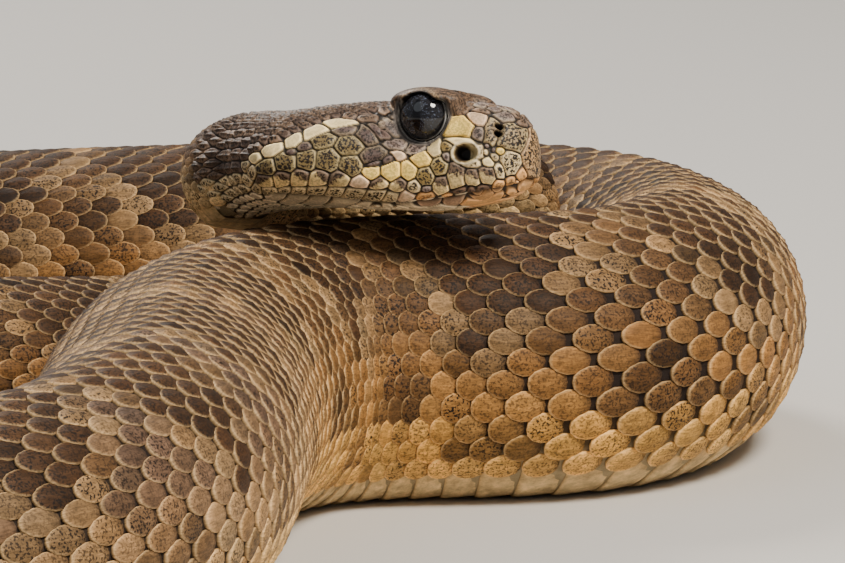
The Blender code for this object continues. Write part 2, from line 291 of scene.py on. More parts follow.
def scale_material(name, roughness, bump, specks, gloss, striae=None):
    """Horny scales: each one's own tone, finely peppered, and streaked lengthwise with striae.

    The specks are given by their fineness and by where in the noise they begin and are full.
    """
    made, add_node, finish = new_surface(name)
    tone = add_node("VertexColor", layer_name="tone")
    where = add_node("TexCoord")["Object"]
    fineness, begin, full = specks
    grain = add_node("TexNoise", {"Vector": where, "Scale": fineness, "Detail": 2.0})
    grain = add_node("MapRange", {"Value": grain["Fac"], "From Min": begin, "From Max": full})
    relief = add_node("TexNoise", {"Vector": where, "Scale": 420.0, "Detail": 3.0})["Fac"]
    light = add_node("MapRange", {
        "Value": relief, "From Min": 0.3, "From Max": 0.7, "To Min": 0.8, "To Max": 1.2,
    })["Result"]
    if striae:
        lengthwise = add_node("UVMap", uv_map="OFBake")["UV"]
        drawn = add_node("Mapping", {"Vector": lengthwise, "Scale": striae})["Vector"]
        relief = add_node("TexNoise", {
            "Vector": drawn, "Scale": 1.0, "Detail": 3.0, "Roughness": 0.65,
        })["Fac"]
        streaks = add_node("MapRange", {
            "Value": relief, "From Min": 0.34, "From Max": 0.66, "To Min": 0.7, "To Max": 1.35,
        })
        light = {0: light, 1: streaks["Result"]}
        light = add_node("Math", light, operation="MULTIPLY")["Value"]
    toned = add_node("VectorMath", {0: tone["Color"], "Scale": light}, operation="SCALE")
    amount = {0: grain["Result"], 1: tone["Alpha"]}
    amount = add_node("Math", amount, operation="MULTIPLY")["Value"]
    mixed = {"B": SPECK, "Factor": amount, "A": toned["Vector"]}
    colour = add_node("Mix", mixed, data_type="RGBA")["Result"]
    rough = add_node("Bump", {"Height": relief, "Strength": bump, "Distance": BUMP_DISTANCE})
    finish({
        "Base Color": colour, "Normal": rough["Normal"], "Roughness": roughness,
        "Specular IOR Level": gloss,
    })
    return made


STRIAE = (1500.0, 5200.0, 1.0)
body_material = scale_material("body_scales", 0.6, 0.8, (3000.0, 0.50, 0.60), 0.14, STRIAE)
head_material = scale_material("head_scales", 0.50, 0.25, (3300.0, 0.47, 0.54), 0.3)
horn_material = scale_material("horn", 0.38, 0.3, (600.0, 0.55, 0.63), 0.5)


# ---- Markings. Distances in millimetres along the body, angles from the middle of the back.
GROUND, FLANK, LOW = linear([(88, 62, 38), (150, 106, 56), (212, 159, 82)])
BELLY, DARK, BORDER = linear([(206, 182, 138), (66, 45, 28), (138, 108, 72)])
GREY, BETWEEN, PALE_RIM = linear([(112, 98, 92), (46, 40, 40), (240, 202, 146)])
ROOT_SHADE, ASH, BLACK = linear([(36, 31, 30), (186, 180, 170), (28, 25, 24)])
BLOTCH_FIRST = 505.0
BLOTCH_PITCH = 31.0
BLOTCH_HALF = 12.2
BLOTCH_REACH = 66.0
TAIL_FROM = 866.0
TAIL_RING = 15.5


def ease(x, low, high):
    """A smooth step from 0 at low to 1 at high."""
    t = np.clip((np.asarray(x, float) - low) / (high - low), 0, 1)
    return t * t * (3 - 2 * t)


def bell(x, centre, width):
    """A smooth bump, 1 at its centre."""
    return np.exp(-((x - centre) / width) ** 2)


def mix(a, b, t):
    t = np.asarray(t)[..., None]
    return a * (1 - t) + b * t


def coats(tone, *layers):
    """The tone under layers of colour, each with how much of it there is."""
    for colour, amount in layers:
        tone = mix(tone, colour, amount)
    return tone


def on_tail(s):
    return ease(s, TAIL_FROM - 4, TAIL_FROM + 1)


def markings(s, angle, rng=None):
    """The ground colour with its dark blotches, pale borders, side spots and ringed tail, and a
    painted grey shade over part of the body.
    """
    side = np.abs(np.degrees(angle))
    pitch = BLOTCH_PITCH * np.interp(s, (40, 160, 420, 860), (0.72, 0.85, 1.0, 0.86))
    phase = (s - BLOTCH_FIRST) / pitch
    near = np.abs(phase - np.round(phase)) * pitch
    wide = BLOTCH_HALF * pitch / BLOTCH_PITCH
    neck = 1 - ease(s, 60, 150)
    # Painted shade: a bluish grey mixed over the body from about 560 to 800 mm, as if that stretch
    # lay in shade.
    painted_grey_shade = 0.3 * ease(s, 560, 610) * (1 - ease(s, 720, 800))
    reach = (near / wide) ** 1.5 + (side / BLOTCH_REACH) ** 1.5
    if rng is not None:
        reach = reach + rng.normal(0, 0.19, np.shape(reach))
    spot = (np.abs(near - pitch / 2) / (wide * 0.5)) ** 2 + ((side - 96) / 15.0) ** 2
    low_spot = (near / (wide * 0.45)) ** 2 + ((side - 117) / 9.0) ** 2
    ring = np.mod((s - TAIL_FROM) / TAIL_RING, 1.0)
    ringed = mix(ASH, BLACK, ease(ring, 0.44, 0.5) * (1 - ease(ring, 0.94, 1.0)))
    return coats(
        GROUND,
        (FLANK, ease(side, 55, 100)),
        (LOW, ease(side, 98, 118)),
        (BELLY, 0.7 * neck * ease(side, 70, 110)),
        (GREY, 0.45 * neck * (1 - ease(side, 60, 100))),
        (BELLY, 0.8 * ease(side, 128, 138)),
        (mix(GREY * 0.7, BELLY, ease(side, 60, 118)), painted_grey_shade),
        (BORDER, 0.8 * (1 - ease(reach, 1.25, 1.6))),
        (DARK, 1 - ease(reach, 0.95, 1.12)),
        (GROUND, 0.35 * (1 - ease(reach, 0.12, 0.45))),
        (DARK, 0.7 * (1 - ease(spot, 0.7, 1.3))),
        (mix(DARK, FLANK, 0.35), 0.75 * (1 - ease(low_spot, 0.7, 1.3))),
        (ringed, on_tail(s)),
    )


# ---- The skin between the scales, from the back of the head to the tail's end.
SKIN_FROM = 42.6
SKIN_DEPTH = 0.55
SKIN_SIDES = 72


def body_skin():
    last = SPINE_END - 0.2
    rings = np.r_[np.arange(SKIN_FROM, 90.0, 0.8), np.arange(90.0, last, 2.2), last]
    s, a = grid(rings, full_turn(SKIN_SIDES))
    points = on_body(s, a, -SKIN_DEPTH * np.interp(s, (42, 60, 300), (0.9, 0.7, 1.0)))
    signed = np.where(a > math.pi, a - 2 * math.pi, a)
    tone = mix(markings(s, signed) * 0.2, BETWEEN * 0.6, 0.7)
    tone = mix(tone, BELLY * 0.5, ease(np.abs(np.degrees(signed)), 118, 128))
    uv = np.stack([0.02 + 0.96 * s / SPINE_END, 0.02 + 0.96 * a / (2 * math.pi)], -1)
    faces = grid_faces(len(rings), SKIN_SIDES, closed=True)
    return make_mesh("skin", points, faces, tone, 0.0, uv, body_material)


# ---- The scales of the back and flanks.
DORSAL_EDGE = 130.0
SCALES_FROM = 43.0
FULL_GIRTH = 18.7
FULL_ROW = 2.7
PLATE_PITCH = 4.75
PLATE_POWER = 2.35
PLATE_SIDES = 14
PLATE_RINGS = (0.5, 0.86, 0.95, 1.0)
UV_PATCH = 0.0015
PIECE_FACES = 190000
# How many rows of scales there are, up to which place on the body.
ROW_ZONES = ((715.0, 31), (750.0, 27), (785.0, 23), (856.0, 19), (SPINE_END - 1.0, 17))


def plate_pattern():
    """A scale's own grid: centre, rings out to its edge, and a last ring down to the skin."""
    rho, t = grid(PLATE_RINGS + (1.001,), full_turn(PLATE_SIDES))
    c, d = np.cos(t), np.sin(t)
    size = (np.abs(c) ** PLATE_POWER + np.abs(d) ** PLATE_POWER) ** (-1 / PLATE_POWER)
    taper = 1 - 0.17 * np.maximum(c * size, 0) ** 1.6 - 0.06 * np.maximum(-c * size, 0)
    r = np.minimum(rho, 1.0)
    points = (np.r_[0.0, p.ravel()] for p in (r * c * size, r * d * size * taper, rho))
    faces = [(0, 1 + k, 1 + (k + 1) % PLATE_SIDES) for k in range(PLATE_SIDES)]
    for ring in range(len(PLATE_RINGS)):
        a, b = 1 + ring * PLATE_SIDES, 1 + (ring + 1) * PLATE_SIDES
        for k in range(PLATE_SIDES):
            m = (k + 1) % PLATE_SIDES
            faces += [(a + k, b + k, b + m), (a + k, b + m, a + m)]
    return *points, np.array(faces)


def lattice():
    """Each dorsal scale's place, angle, pitch, row width and nearness to the belly, row by row."""
    out = []
    s = SCALES_FROM
    edge = math.radians(DORSAL_EDGE)
    for end, rows in ROW_ZONES:
        half = (rows - 1) / 2
        while s < end:
            g = float(girth(s))
            pitch = PLATE_PITCH * (g / FULL_GIRTH) ** 0.85 * (31 / rows) ** 0.35
            pitch *= 1 - 0.17 * float(ease(s, 425, 455) * (1 - ease(s, 595, 625)))
            for number in range(rows):
                r = number - half
                low = abs(r) / half
                angle = edge * math.copysign(low * (0.93 + 0.07 * low ** 2), r)
                out.append((s + number % 2 * pitch / 2, angle, pitch, g * edge / half, low))
            s += pitch
        s -= 0.2 * pitch
    return np.array(out)


def build_scales():
    rng = np.random.default_rng(7)
    plate_u, plate_v, plate_rho, plate_faces = plate_pattern()
    cells = lattice()
    cells = cells[cells[:, 0] < SPINE_END - 1.2]
    count = len(cells)
    s0, a0, pitch, row, low = cells.T
    s0 = s0 + rng.normal(0, 0.012, count) * pitch
    a0 = a0 + rng.normal(0, 0.008, count) * row / girth(s0)
    half_u = pitch * (0.60 + 0.015 * rng.normal(0, 1, count))
    half_v = row * (0.70 + 0.02 * rng.normal(0, 1, count)) * (0.96 + 0.16 * low ** 3)
    u, v, rho = plate_u[None, :], plate_v[None, :], plate_rho[None, :]

    # The relief: each scale rises toward the tail, keeled, and its sides go down to the skin.
    size = (row / FULL_ROW)[:, None]
    slope = 0.5 * (u + 1)
    lift = (0.08 + 0.46 * slope ** 1.3) * size
    dome = (1 - np.minimum(rho, 1.0) ** 3.2) * 0.24 * size
    keel = bell(v, 0, 0.14) * 0.17 * size * (1 - np.minimum(rho, 1) ** 4)
    keel = keel * (1 - 0.75 * low[:, None] ** 3)
    rim = np.where(rho > 1.0, -0.62 * size * (0.6 + 0.4 * slope), 0.0)
    edge = np.where((rho > 0.9) & (rho < 1.0005), -0.05 * size, 0.0)
    sunk = -bell(u, -1, 0.35) * 0.30 * size
    out = -SKIN_DEPTH * np.minimum(size, 1.0) + lift + dome + keel + rim + edge + sunk
    ahead, behind = on_body(s0 + 2.0, a0), on_body(s0 - 2.0, a0)
    stretch = np.linalg.norm(ahead - behind, axis=-1) / 4.0
    fit = np.where(stretch > 1, stretch ** 0.42, np.maximum(stretch, 0.35) ** 0.35)
    s = s0[:, None] + u * (half_u / fit)[:, None]
    angle = a0[:, None] + v * half_v[:, None] / girth(s0)[:, None]
    points = on_body(s, angle, out)

    # The colours: each scale's own shade, with a pale free edge, a painted highlight along the
    # keel, and painted shade on the root, the headward edges and the sides down to the skin.
    tone = markings(s0, a0, rng)
    shade = np.exp(rng.normal(0, 0.15, count))[:, None]
    shade = shade * np.where(rng.random(count) < 0.07, 0.55, 1.0)[:, None]
    warm = rng.normal(0, 0.03, count)[:, None]
    tone = tone * shade * (1 + warm * np.array([1.0, 0.2, -0.9]))
    tone = np.repeat(tone[:, None, :], len(plate_u), 1)
    middle = (1 - ease(rho, 0.5, 0.95))[..., None]
    tone = tone * (1.20 - 0.42 * middle)
    # A painted highlight along each scale's keel.
    tone = tone * (1 + 0.35 * bell(v, 0, 0.1) * (np.abs(u) < 0.8))[..., None]
    rimmed = bell(rho, 0.985, 0.038) * np.clip(0.65 + 0.6 * u, 0, 1)
    tone = mix(tone, tone * 0.6 + PALE_RIM * 0.5, 0.95 * rimmed)
    # Painted shade on each scale's root, where the free edges of the scales toward the head lie
    # over it.
    tone = mix(tone, ROOT_SHADE, 0.8 * ease(-u, 0.35, 0.95))
    side_shade = (rho > 0.9) * (1 - ease(u, -0.5, 0.3))
    tone = tone * (1 - 0.6 * side_shade[..., None])
    # Painted shade on the sides that go down to the skin, in the gaps between scales.
    tone = np.where((rho > 1.0)[..., None], tone * 0.10, tone)
    darkness = 1 - ease(markings(s0, a0).mean(-1), 0.03, 0.10)
    pepper = np.clip(0.62 + 0.2 * rng.normal(0, 1, count) + 0.4 * darkness, 0.2, 1.0)
    pepper = pepper[:, None] * (1 - rimmed) * (rho < 1.0)
    uv = np.stack([0.02 + 0.96 * s0 / SPINE_END, 0.5 + 0.46 * a0 / math.pi], -1)
    uv = uv[:, None, :] + UV_PATCH * np.stack([plate_u, plate_v], -1)[None]

    chunk = PIECE_FACES // len(plate_faces)
    order = np.argsort(s0)
    for piece, start in enumerate(range(0, count, chunk)):
        pick = order[start:start + chunk]
        faces = plate_faces[None] + (np.arange(len(pick)) * len(plate_u))[:, None, None]
        make_mesh(
            f"scales_{piece + 1}", points[pick], faces.reshape(-1, 3), tone[pick], pepper[pick],
            uv[pick], body_material,
        )


# ---- The broad scutes of the belly.
SCUTES_FROM = 46.0
SCUTE_PITCH = 4.6
SCUTE_COLUMNS = 25


def build_scutes():
    starts = []
    s = SCUTES_FROM
    while s < SPINE_END - 2:
        step = SCUTE_PITCH * float(girth(s) / FULL_GIRTH) ** 0.75
        starts.append((s, step))
        s += step
    at, long = np.array(starts).T
    lengthwise = np.array([-0.62, -0.3, 0.1, 0.45, 0.60, 0.601])
    lift = np.array([-0.25, -0.05, 0.1, 0.2, 0.14, -0.35])
    u, v = grid(lengthwise, np.linspace(-1, 1, SCUTE_COLUMNS))
    lift = lift[:, None] - 0.5 * np.abs(v) ** 8
    s = at[:, None, None] + u * long[:, None, None] - 0.5 * v ** 2
    angle = math.pi + v * math.radians(180 - DORSAL_EDGE + 1.5) + 0 * s
    size = np.minimum(girth(s) / FULL_GIRTH, 1.0)
    points = on_body(s, angle, (-SKIN_DEPTH * 0.8 + lift * 1.2) * size)

    rng = np.random.default_rng(11)
    tone = BELLY * np.exp(rng.normal(0, 0.05, len(at)))[:, None]
    tail = on_tail(at)
    tone = mix(tone, markings(at, np.full(len(at), 1.0)) * 0.9, tail)
    tone = np.repeat(tone[:, None, :], u.size, 1).reshape(*s.shape, 3)
    tone = mix(tone, LOW, 0.6 * (1 - tail)[:, None, None] * np.abs(v) ** 3)
    # Painted shade on the step down at each scute's free edge.
    tone = tone * np.where(u > 0.6005, 0.3, 1.0)[..., None]
    tone = tone * (1 - 0.25 * np.abs(v) ** 6)[..., None]
    faces = grid_faces(len(lengthwise), SCUTE_COLUMNS)
    faces = (faces + (np.arange(len(at)) * u.size)[:, None, None]).reshape(-1, 4)
    uv = np.stack([0.02 + 0.96 * at / SPINE_END, np.full(len(at), 0.99)], -1)
    uv = uv[:, None, :] + UV_PATCH * np.stack([u, v], -1).reshape(-1, 2)
    make_mesh("belly_scutes", points, faces, tone, 0.12, uv, body_material)


# ---- The head, in its own straight frame: tailward, to the left and up, from the tip of the snout.
# The scales of one side: distance, angle from the crown, half length, half height, tilt, kind.
HEAD_SCALES = [
    (6.6, 48, 1.33, 1.04, 19, "p"), (3.6, 34, 1.74, 0.94, -33, "g"), (6.4, 38, 1.41, 0.55, -4, "b"),
    (2.4, 0, 0.9, 3.2, -19, "b"), (4.6, 57, 1.04, 1.89, -1, "n"), (2.2, 54, 1.66, 2.28, 34, "n"),
    (8.8, 56, 2.34, 1.4, -3, "y"), (6.2, 60, 0.9, 1.06, -10, "g"), (8.4, 66, 2.25, 0.54, 7, "c"),
    (7.0, 84, 1.55, 0.64, 3, "w"), (5.2, 75, 0.51, 0.59, -17, "w"), (5.0, 70, 0.45, 0.39, 4, "g"),
    (3.4, 74, 0.72, 0.58, 4, "y"), (4.0, 80, 0.6, 0.57, 41, "w"), (4.8, 84, 0.85, 0.64, 11, "c"),
    (4.2, 73, 0.32, 0.39, -3, "g"), (2.4, 86, 1.36, 1.7, -19, "w"), (2.6, 135, 0.85, 1.28, 11, "r"),
    (3.4, 98, 0.72, 1.16, -2, "w"), (3.8, 130, 0.75, 0.84, 3, "r"), (5.0, 104, 1.19, 1.08, 34, "m"),
    (6.8, 104, 1.3, 1.1, 29, "m"), (8.6, 100, 1.25, 1.79, 9, "m"), (10.8, 86, 0.98, 1.15, -4, "o"),
    (12.6, 96, 1.2, 1.12, 41, "o"), (10.8, 115, 1.02, 1.51, 17, "m"),
    (14.2, 114, 0.93, 1.24, 27, "w"), (12.6, 118, 0.73, 0.61, -17, "g"),
    (13.2, 132, 1.44, 0.92, -24, "r"), (16.0, 136, 1.15, 2.7, 30, "p"),
    (14.6, 88, 1.04, 1.22, 7, "y"), (13.2, 78, 1.24, 1.08, -28, "y"),
    (11.8, 70, 1.08, 1.19, 14, "c"), (10.2, 70, 0.75, 0.68, 44, "o"), (9.2, 76, 0.4, 0.82, 12, "c"),
    (10.0, 78, 0.52, 0.65, -11, "g"), (14.4, 70, 1.3, 1.04, -1, "g"),
    (12.6, 66, 0.67, 0.58, 26, "g"), (16.0, 76, 1.16, 0.65, -4, "p"),
    (8.6, 126, 1.26, 0.6, -16, "s"), (7.2, 128, 0.62, 0.77, 27, "s"),
    (5.8, 127, 0.91, 0.54, -3, "s"), (1.6, 138, 0.98, 1.72, 8, "r"),
    (10.6, 134, 1.27, 0.63, -15, "r"), (3.8, 178, 1.51, 3.2, 10, "R"),
    (6.4, 152, 1.81, 2.5, 36, "R"), (10.6, 154, 1.29, 2.31, 45, "P"),
    (13.6, 152, 1.93, 1.11, -38, "P"), (24.0, 52, 1.93, 0.9, -1, "c"),
    (26.6, 60, 1.84, 1.0, -29, "c"), (29.0, 68, 0.89, 1.45, 44, "c"),
    (32.0, 77, 1.73, 0.93, -18, "c"), (34.8, 84, 1.81, 0.78, 3, "c"),
    (22.8, 58, 1.65, 0.73, -5, "d"), (25.4, 68, 1.53, 1.16, -6, "t"),
    (21.8, 72, 1.78, 1.21, -10, "t"), (27.4, 74, 1.03, 0.7, -22, "d"),
    (29.2, 80, 0.8, 0.54, -21, "d"), (27.0, 86, 1.32, 1.49, 6, "t"),
    (29.8, 90, 1.46, 1.34, -17, "t"), (24.4, 85, 1.59, 1.52, -43, "t"),
    (21.6, 88, 1.44, 1.52, 44, "t"), (19.0, 78, 1.67, 1.17, -14, "d"),
    (32.6, 98, 1.53, 1.11, -4, "t"), (20.0, 63, 1.12, 1.48, -39, "d"),
    (20.6, 47, 1.57, 0.75, 17, "b"), (18.8, 59, 0.68, 1.99, -43, "d"),
    (17.8, 56, 0.86, 1.6, -40, "g"), (16.8, 68, 1.31, 0.85, 15, "g"),
    (19.6, 35, 0.74, 1.77, -36, "b"), (18.4, 32, 0.54, 1.82, -25, "p"),
    (17.2, 50, 0.49, 1.44, -32, "g"), (19.2, 95, 1.24, 1.01, -16, "y"),
    (18.8, 84, 1.3, 0.45, -20, "d"), (17.2, 80, 1.18, 0.51, -34, "d"),
    (16.8, 90, 1.24, 1.14, -26, "y"), (18.4, 112, 1.38, 1.01, -35, "m"),
    (16.0, 113, 0.99, 1.31, 41, "m"), (20.6, 112, 1.55, 1.14, -38, "p"),
    (23.0, 109, 1.65, 1.23, -41, "m"), (25.6, 110, 1.16, 1.68, 38, "m"),
    (28.2, 113, 1.09, 1.84, 31, "m"), (30.8, 116, 1.09, 1.76, 32, "m"),
    (33.4, 117, 1.52, 1.11, -23, "m"), (35.8, 126, 1.33, 0.79, -26, "w"),
    (20.2, 139, 1.3, 3.2, 27, "w"), (18.2, 142, 1.19, 3.2, 26, "w"),
    (22.4, 135, 1.31, 2.93, 26, "w"), (24.6, 132, 1.06, 2.04, 38, "w"),
    (27.0, 133, 1.06, 2.06, 40, "w"), (29.8, 137, 0.99, 2.11, 33, "w"),
    (31.4, 133, 0.84, 1.38, 37, "w"), (33.6, 132, 1.43, 1.09, -33, "w"),
    (26.6, 162, 1.39, 3.2, 33, "W"), (29.4, 158, 1.25, 3.2, 40, "W"),
    (31.4, 150, 3.27, 1.25, -42, "W"), (33.6, 142, 1.65, 1.05, -13, "W"),
]
# A kind's colour, and how thickly it is peppered.
KINDS = {
    "c": ((232, 206, 150), 0.15), "y": ((230, 192, 98), 0.35), "p": ((210, 176, 140), 0.25),
    "w": ((198, 174, 130), 1.0), "g": ((122, 105, 97), 0.85), "d": ((90, 73, 67), 0.9),
    "t": ((118, 99, 62), 1.0), "o": ((138, 114, 64), 1.0), "m": ((222, 192, 132), 0.35),
    "r": ((206, 150, 88), 0.7), "R": ((220, 166, 108), 0.2), "P": ((194, 156, 122), 0.4),
    # The dark brown "s" scales beside the mouth line give it a painted shadow.
    "s": ((98, 72, 52), 0.95), "b": ((106, 84, 66), 1.0), "n": ((164, 142, 106), 1.0),
    "W": ((228, 204, 164), 0.3), "k": ((180, 144, 100), 1.0), "B": ((116, 92, 72), 0.7),
    "x": ((84, 65, 53), 0.9),
}
HEAD_BACK = 44.6
HEAD_SPLIT = 15.5
HEAD_COLUMNS = 440
FRONT_STEP = 0.125
REAR_STEP = 0.155
CAP_RINGS = (0.0, 0.1, 0.22, 0.34, 0.46, 0.58, 0.70, 0.80, 0.90)
CLEARANCE = 1.45
TAILWARD, LEFTWARD, UPWARD = np.eye(3)
# Near black, painted as the shade inside the heat pits and nostrils.
HOLE_SHADE = np.array([0.006, 0.004, 0.004])


def brow_reach(s, across, up, level):
    """The head's side carried out over the brow ridges, blended into them."""
    r = np.hypot(across, up - level)
    safe = np.maximum(r, 1e-6)
    dx, dz = across / safe, (up - level) / safe
    fade = 1 - ((s - BROW_CENTRE[0]) / BROW_SIZE[0]) ** 2
    shrink = np.sqrt(np.maximum(fade, 1e-6))
    half_x, half_z = BROW_SIZE[1] * shrink, BROW_SIZE[2] * shrink
    cx, cz = BROW_CENTRE[1] * np.sign(across), BROW_CENTRE[2] - level
    a = (dx / half_x) ** 2 + (dz / half_z) ** 2
    b = dx * cx / half_x ** 2 + dz * cz / half_z ** 2
    c = (cx / half_x) ** 2 + (cz / half_z) ** 2 - 1
    found = b * b - a * c
    t = (b + np.sqrt(np.maximum(found, 0))) / a
    t = np.where((found > 0) & (fade > 0) & (up > 0), t, r - 3.0)
    inner = np.abs(cx) * dz > np.abs(dx) * cz
    t = np.where(inner & (found > 0), r - 1.0 + (t - r + 1.0) * np.clip(2 * found / a, 0, 1), t)
    return np.maximum(r, (r + t + np.sqrt((r - t) ** 2 + 0.5)) / 2 - 0.06) / safe


def head_surface(s, angle):
    """Points of the head's outside in its own frame, and how far the brows raise them."""
    across, up = head_section(s, angle)
    level = table(WIDEST_LEVEL, s)
    grow = brow_reach(s, across, up, level)
    local = np.stack([s + 0 * angle, across * grow, level + (up - level) * grow], -1)
    return local, np.hypot(across, up - level) * (grow - 1)


def seat(s, angle, side=1):
    """A place on the head with its ways tailward and toward the crown, and outward."""
    def at(ss, aa):
        across, up = head_section(ss, aa)
        return np.array([ss, float(across), float(up)])
    here = at(s, angle)
    tail = unit(at(s + 0.3, angle) - at(max(s - 0.3, 0.0), angle))
    crown = at(s, angle - 0.03) - at(s, angle + 0.03)
    crown = unit(crown - tail * (crown @ tail))
    out = unit(np.cross(crown, tail))
    if out @ (here - np.array([s, 0, float(table(WIDEST_LEVEL, s))])) < 0:
        out = -out
    flip = np.array([1, side, 1])
    return here * flip, tail * flip, crown * flip, out * flip


def height_angle(s, height):
    """The angle from the crown at which the head's side has this height."""
    turns = np.linspace(0.02, math.pi - 0.02, 900)
    up = head_section(np.full(900, float(s)), turns)[1]
    return float(turns[np.argmin(np.abs(up - height))])


def eye_centre(side):
    across = float(head_section(EYE_AT, height_angle(EYE_AT, EYE_HEIGHT))[0])
    return np.array([EYE_AT, side * (across + EYE_BULGE - EYE_RADIUS), EYE_HEIGHT])


def head_seeds():
    """Each scale of the head: place, three ways, three half sizes, kind, shade's number, keel."""
    out = []

    def put(place, ways, sizes, kind, number, keel=0.0):
        out.append((place, *ways, *sizes, kind, number, keel))

    def add(spot, half_u, half_v, tilt, kind, keel=0.0, deep=None):
        p, u, v, n = spot
        c, d = math.cos(tilt), math.sin(tilt)
        deep = deep or 0.7 * min(half_u, half_v) + 0.8
        ways = (u * c + v * d, v * c - u * d, n)
        put(p, ways, (half_u, half_v, deep), kind, len(out) + 1, keel)

    # The measured scales, the brows, the snout's shield and the chin's, and the lower jaw.
    for side in (1, -1):
        for s, degrees, half_u, half_v, tilt, kind in HEAD_SCALES:
            keel = 0.35 if kind in "dtb" and s > 16 else 0.0
            spot = seat(s, math.radians(degrees), side)
            add(spot, half_u, half_v, math.radians(tilt), kind, keel)
        place = np.array([BROW_CENTRE[0], side * 5.7, BROW_CENTRE[2] + 0.6])
        put(place, (TAILWARD, -side * LEFTWARD, UPWARD), (5.2, 3.7, 2.2), "B", len(out) + 1)
    ways = (LEFTWARD, UPWARD, TAILWARD)
    put(np.array([0.7, 0, 0.3]), ways, (2.2, 3.3, 1.6), "k", len(out) + 2)
    put(np.array([1.6, 0, -4.0]), ways, (2.0, 1.4, 2.0), "R", len(out))
    for side in (1, -1):
        add(seat(6.5, math.radians(161), side), 4.2, 1.9, 0.0, "R")
        add(seat(13.5, math.radians(163), side), 3.0, 1.6, 0.0, "W")
        for s in np.arange(2.0, 20, 2.25):
            angle = math.radians(np.interp(s, (0, 8, 20), (143, 138, 142)))
            add(seat(s, angle, side), 1.2, 0.95, 0.0, "R" if s < 8 else "W")
    taken = [o[:7] for o in out]

    def clashes(p):
        for tp, tu, tv, tn, ta, tb, tc in taken:
            q = p - tp
            if abs(q[0]) < 6:
                apart = ((q @ tu) / ta) ** 2 + ((q @ tv) / tb) ** 2 + ((q @ tn) / tc) ** 2
                if apart < CLEARANCE ** 2:
                    return True
        return False

    # Rows of small scales wherever there is room.
    rng = np.random.default_rng(5)
    turns = np.linspace(-math.pi, math.pi, 721)
    s = 1.6
    step = 0
    while s < HEAD_BACK + 1:
        pitch = float(np.interp(s, (0, 6, 10, 18, 24, 44), (1.5, 1.9, 1.7, 1.8, 2.15, 2.5)))
        across, up = head_section(s, turns)
        walk = np.r_[0, np.cumsum(np.hypot(np.diff(across), np.diff(up)))]
        wide = pitch * float(np.interp(s, (0, 18, 44), (0.88, 0.8, 0.66)))
        count = max(8, int(walk[-1] / wide / 2) * 2)
        for k in range(count):
            t = (k + 0.5 * (step % 2)) / count * walk[-1]
            angle = float(np.interp(t, walk, turns))
            p, u, v, n = seat(s, abs(angle), 1 if angle > 0 else -1)
            if clashes(p):
                continue
            degrees = abs(math.degrees(angle))
            crown = degrees < np.interp(s, (0, 9, 19, 28, 44), (70, 60, 60, 75, 110))
            kind = ("R" if s < 10 else "W") if degrees > 135 else "w"
            if crown:
                kind = "b" if rng.random() < 0.55 else "x"
            if crown and s < 9:
                kind = "B" if rng.random() < 0.6 else "g"
            keel = float(np.interp(s, (6, 14), (0.0, 1.0))) if crown else 0.0
            jitter = rng.normal(0, 0.05, 2)
            spot = (p + u * jitter[0] * pitch + v * jitter[1] * pitch, u, v, n)
            deep = 0.6 if crown and 8 < s < 21 else None
            add(spot, pitch * 0.56, wide * 0.54, 0.0, kind, keel, deep)
        s += pitch * 0.52
        step += 1
    return out


def mouth_height(s):
    """How high the line of the mouth runs on the head's own axis."""
    return table(MOUTH_LINE, s)


def head_rows():
    """Where the head's rings lie, evenly along its steepest side, finer in front of the split."""
    fine = np.r_[np.arange(HEAD_SECTIONS[0][0], HEAD_BACK, 0.02), HEAD_BACK]
    base = np.stack(head_section(*grid(fine, full_turn(48))), -1)
    walk = np.sqrt(np.diff(fine)[:, None] ** 2 + (np.diff(base, axis=0) ** 2).sum(-1)).max(1)
    walk = np.r_[0, np.cumsum(walk)]
    turn = float(np.interp(HEAD_SPLIT, fine, walk))
    front = np.linspace(0, turn, int(turn / FRONT_STEP))
    rear = np.linspace(turn, walk[-1], int((walk[-1] - turn) / REAR_STEP))
    return np.interp(front, walk, fine), np.interp(rear, walk, fine)


def nearest_seeds(flat, seeds, above):
    """For each point the nearest seed, the three least distances and its place on that seed.

    A seed of the other jaw counts as farther off, by above.
    """
    centres = np.array([o[0] for o in seeds])
    axes = np.array([[o[1] / o[4], o[2] / o[5], o[3] / o[6]] for o in seeds])
    jaw = np.where(centres[:, 2] > mouth_height(centres[:, 0]), 1.0, -1.0)
    best, second, third = np.full((3, len(flat)), 1e9)
    place = np.zeros((2, len(flat)))
    who = np.zeros(len(flat), int)
    for i in np.argsort(centres[:, 0]):
        near = np.abs(flat[:, 0] - centres[i, 0]) < 7.0
        q = (flat[near] - centres[i]) @ axes[i].T
        d = np.sqrt((q ** 2).sum(-1)) + 1.2 * np.maximum(0, -jaw[i] * above[near])
        b, c = best[near], second[near]
        closer = d < b
        third[near] = np.minimum(third[near], np.where(closer, c, np.maximum(c, d)))
        second[near] = np.where(closer, b, np.minimum(c, d))
        best[near] = np.where(closer, d, b)
        place[:, near] = np.where(closer, q[:, :2].T, place[:, near])
        who[near] = np.where(closer, i, who[near])
    return who, best, second, third, *place


def from_spine(local):
    """Points of the head's own frame in the room, and the way toward the tail at each."""
    at, along, left, back = places(local[..., 0])
    return at + left * local[..., 1:2] + back * local[..., 2:3], along


def net_normals(net):
    return unit(np.cross(np.roll(net, -1, 1) - np.roll(net, 1, 1), np.gradient(net, axis=0)))


def around(flat, centre, side):
    """How far tailward, crownward and outward each point lies from a place on the head's side."""
    p, u, v, out = seat(centre[0], height_angle(*centre), side)
    q = flat - p
    return q @ u, q @ v, q @ out


